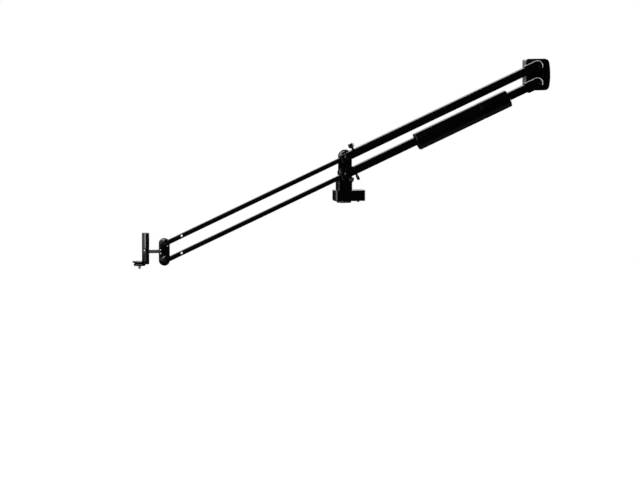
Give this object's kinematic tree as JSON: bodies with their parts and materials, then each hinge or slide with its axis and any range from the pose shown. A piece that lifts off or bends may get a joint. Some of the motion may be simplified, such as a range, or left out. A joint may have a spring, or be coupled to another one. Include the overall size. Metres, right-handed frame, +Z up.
{
  "type": "camera jib crane",
  "caption": "Telescoping parallelogram camera crane arm on a turning column, with a sliding counterweight, a rear ballast block and an upright head post.",
  "frame": {"origin": "centre of the mount ring's underside, on the pan axis and the tripod screw's axis", "axes": "+Z up along the pan axis, +X horizontally towards the counterweight end, -Y towards the side that carries the arms"},
  "size_m": [1.5153, 0.1086, 0.724],
  "materials": {
    "base_paint": "satin",
    "black_anodised": "satin",
    "column_paint": "satin",
    "fittings_paint": "satin",
    "weight_paint": "satin",
    "ballast_grey": "satin",
    "black_steel": "satin",
    "steel": "satin",
    "carrier_grey": "matte",
    "bronze": "matte",
    "black_plastic": "matte",
    "wheel_black": "satin"
  },
  "bodies": {
    "base": {"base_housing": "base_paint", "base_bottom_plate": "base_paint", "mount_ring": "black_anodised", "bearing_carrier": "carrier_grey", "pan_bearing_lower": "steel", "pan_bearing_upper": "steel", "pan_motor": "steel", "battery_pack": "black_plastic"},
    "pan_pinion": {"pan_pinion": "steel"},
    "power_button": {"power_button": "black_plastic"},
    "column": {"pan_shaft": "steel", "pan_gear": "steel", "thrust_washer": "bronze", "column_body": "column_paint", "column_back_cover": "black_plastic", "tilt_gearmotor": "black_anodised", "lower_pivot_bush": "bronze", "upper_pivot_bush": "bronze"},
    "lower_arm": {"lower_rear_tube": "black_anodised", "lower_pivot_axle": "black_steel", "lower_hub_cap": "fittings_paint", "lower_mouth_bush": "black_plastic", "lower_rear_lug": "fittings_paint"},
    "lower_slide": {"lower_front_tube": "black_anodised", "lower_front_eye": "fittings_paint", "lower_slider_shoe": "black_plastic"},
    "upper_arm": {"upper_rear_tube": "black_anodised", "upper_pivot_axle": "black_steel", "upper_hub_cap": "fittings_paint", "upper_mouth_bush": "black_plastic", "upper_rear_lug": "fittings_paint", "upper_axle_nut": "steel"},
    "upper_slide": {"upper_front_tube": "black_anodised", "upper_front_eye": "fittings_paint", "upper_slider_shoe": "black_plastic"},
    "front_head": {"front_plate": "fittings_paint", "lower_front_axle": "black_steel", "upper_front_axle": "black_steel", "head_rod": "steel", "post_core": "steel", "post_clamp": "black_anodised", "post_grip": "black_anodised", "head_bracket": "fittings_paint", "head_stud": "steel"},
    "head_lock_wheel": {"head_lock_wheel": "wheel_black"},
    "rear_block": {"rear_near_plate": "fittings_paint", "rear_ballast": "ballast_grey", "rear_far_plate": "fittings_paint", "lower_rear_axle": "black_steel", "upper_rear_axle": "black_steel"},
    "counterweight": {"weight_main": "weight_paint", "weight_rear": "weight_paint", "weight_front_bush": "black_plastic", "weight_rear_bush": "black_plastic"},
    "weight_lock_knob": {"weight_lock_knob": "black_plastic"},
    "lower_thumbscrew": {"lower_thumbscrew": "black_plastic"},
    "upper_thumbscrew": {"upper_thumbscrew": "black_plastic"},
    "tilt_lock_knob": {"tilt_lock_knob": "black_plastic"}
  },
  "joints": [
    {"name": "pan", "type": "hinge", "parent": "base", "child": "column", "pos_m": [0, 0, 0], "axis": [0, 0, 1], "continuous": true},
    {"name": "pinion_spin", "type": "hinge", "parent": "base", "child": "pan_pinion", "pos_m": [0.02835, 0, 0], "axis": [0, 0, 1], "continuous": true},
    {"name": "power_press", "type": "slide", "parent": "base", "child": "power_button", "axis": [0, 0, 1], "range_m": [0, 0.0012], "stiffness_N_per_m": 900, "springref_m": -0.0005},
    {"name": "tilt", "type": "hinge", "parent": "column", "child": "lower_arm", "pos_m": [0, 0, 0.1047], "axis": [0, -1, 0], "range_deg": [-54.36, 10.64]},
    {"name": "upper_tilt", "type": "hinge", "parent": "column", "child": "upper_arm", "pos_m": [0, 0, 0.1657], "axis": [0, -1, 0], "range_deg": [-54.36, 10.64]},
    {"name": "rear_link", "type": "hinge", "parent": "lower_arm", "child": "rear_block", "pos_m": [0.69279, 0, 0.41838], "axis": [0, -1, 0], "range_deg": [-10.64, 54.36]},
    {"name": "extend", "type": "slide", "parent": "lower_arm", "child": "lower_slide", "axis": [0.911, 0, 0.4125], "range_m": [0, 0.6]},
    {"name": "upper_extend", "type": "slide", "parent": "upper_arm", "child": "upper_slide", "axis": [0.911, 0, 0.4125], "range_m": [0, 0.6]},
    {"name": "front_link", "type": "hinge", "parent": "lower_slide", "child": "front_head", "pos_m": [-0.65499, 0, -0.19187], "axis": [0, -1, 0], "range_deg": [-10.64, 54.36]},
    {"name": "weight_slide", "type": "slide", "parent": "lower_arm", "child": "counterweight", "axis": [0.911, 0, 0.4125], "range_m": [-0.14, 0.054]},
    {"name": "weight_lock_turn", "type": "hinge", "parent": "counterweight", "child": "weight_lock_knob", "pos_m": [0.54021, 0, 0.34929], "axis": [0, 1, 0], "range_deg": [0, 360]},
    {"name": "lower_clamp_turn", "type": "hinge", "parent": "lower_arm", "child": "lower_thumbscrew", "pos_m": [0.02915, -0.0437, 0.1179], "axis": [0.4125, 0, -0.911], "range_deg": [0, 360]},
    {"name": "upper_clamp_turn", "type": "hinge", "parent": "upper_arm", "child": "upper_thumbscrew", "pos_m": [0.02915, -0.0437, 0.1789], "axis": [-0.4125, 0, 0.911], "range_deg": [0, 360]},
    {"name": "tilt_lock_turn", "type": "hinge", "parent": "lower_arm", "child": "tilt_lock_knob", "pos_m": [0.01772, 0, 0.08495], "axis": [0, -1, 0], "range_deg": [0, 360]},
    {"name": "head_wheel_turn", "type": "hinge", "parent": "front_head", "child": "head_lock_wheel", "pos_m": [-0.74399, -0.02695, -0.20927], "axis": [0, 0, 1], "continuous": true}
  ],
  "couplings": [
    {"joint": "pinion_spin", "follows": "pan", "ratio": -3.6667},
    {"joint": "upper_tilt", "follows": "tilt", "ratio": 1},
    {"joint": "rear_link", "follows": "tilt", "ratio": -1},
    {"joint": "front_link", "follows": "tilt", "ratio": -1},
    {"joint": "upper_extend", "follows": "extend", "ratio": 1}
  ]
}
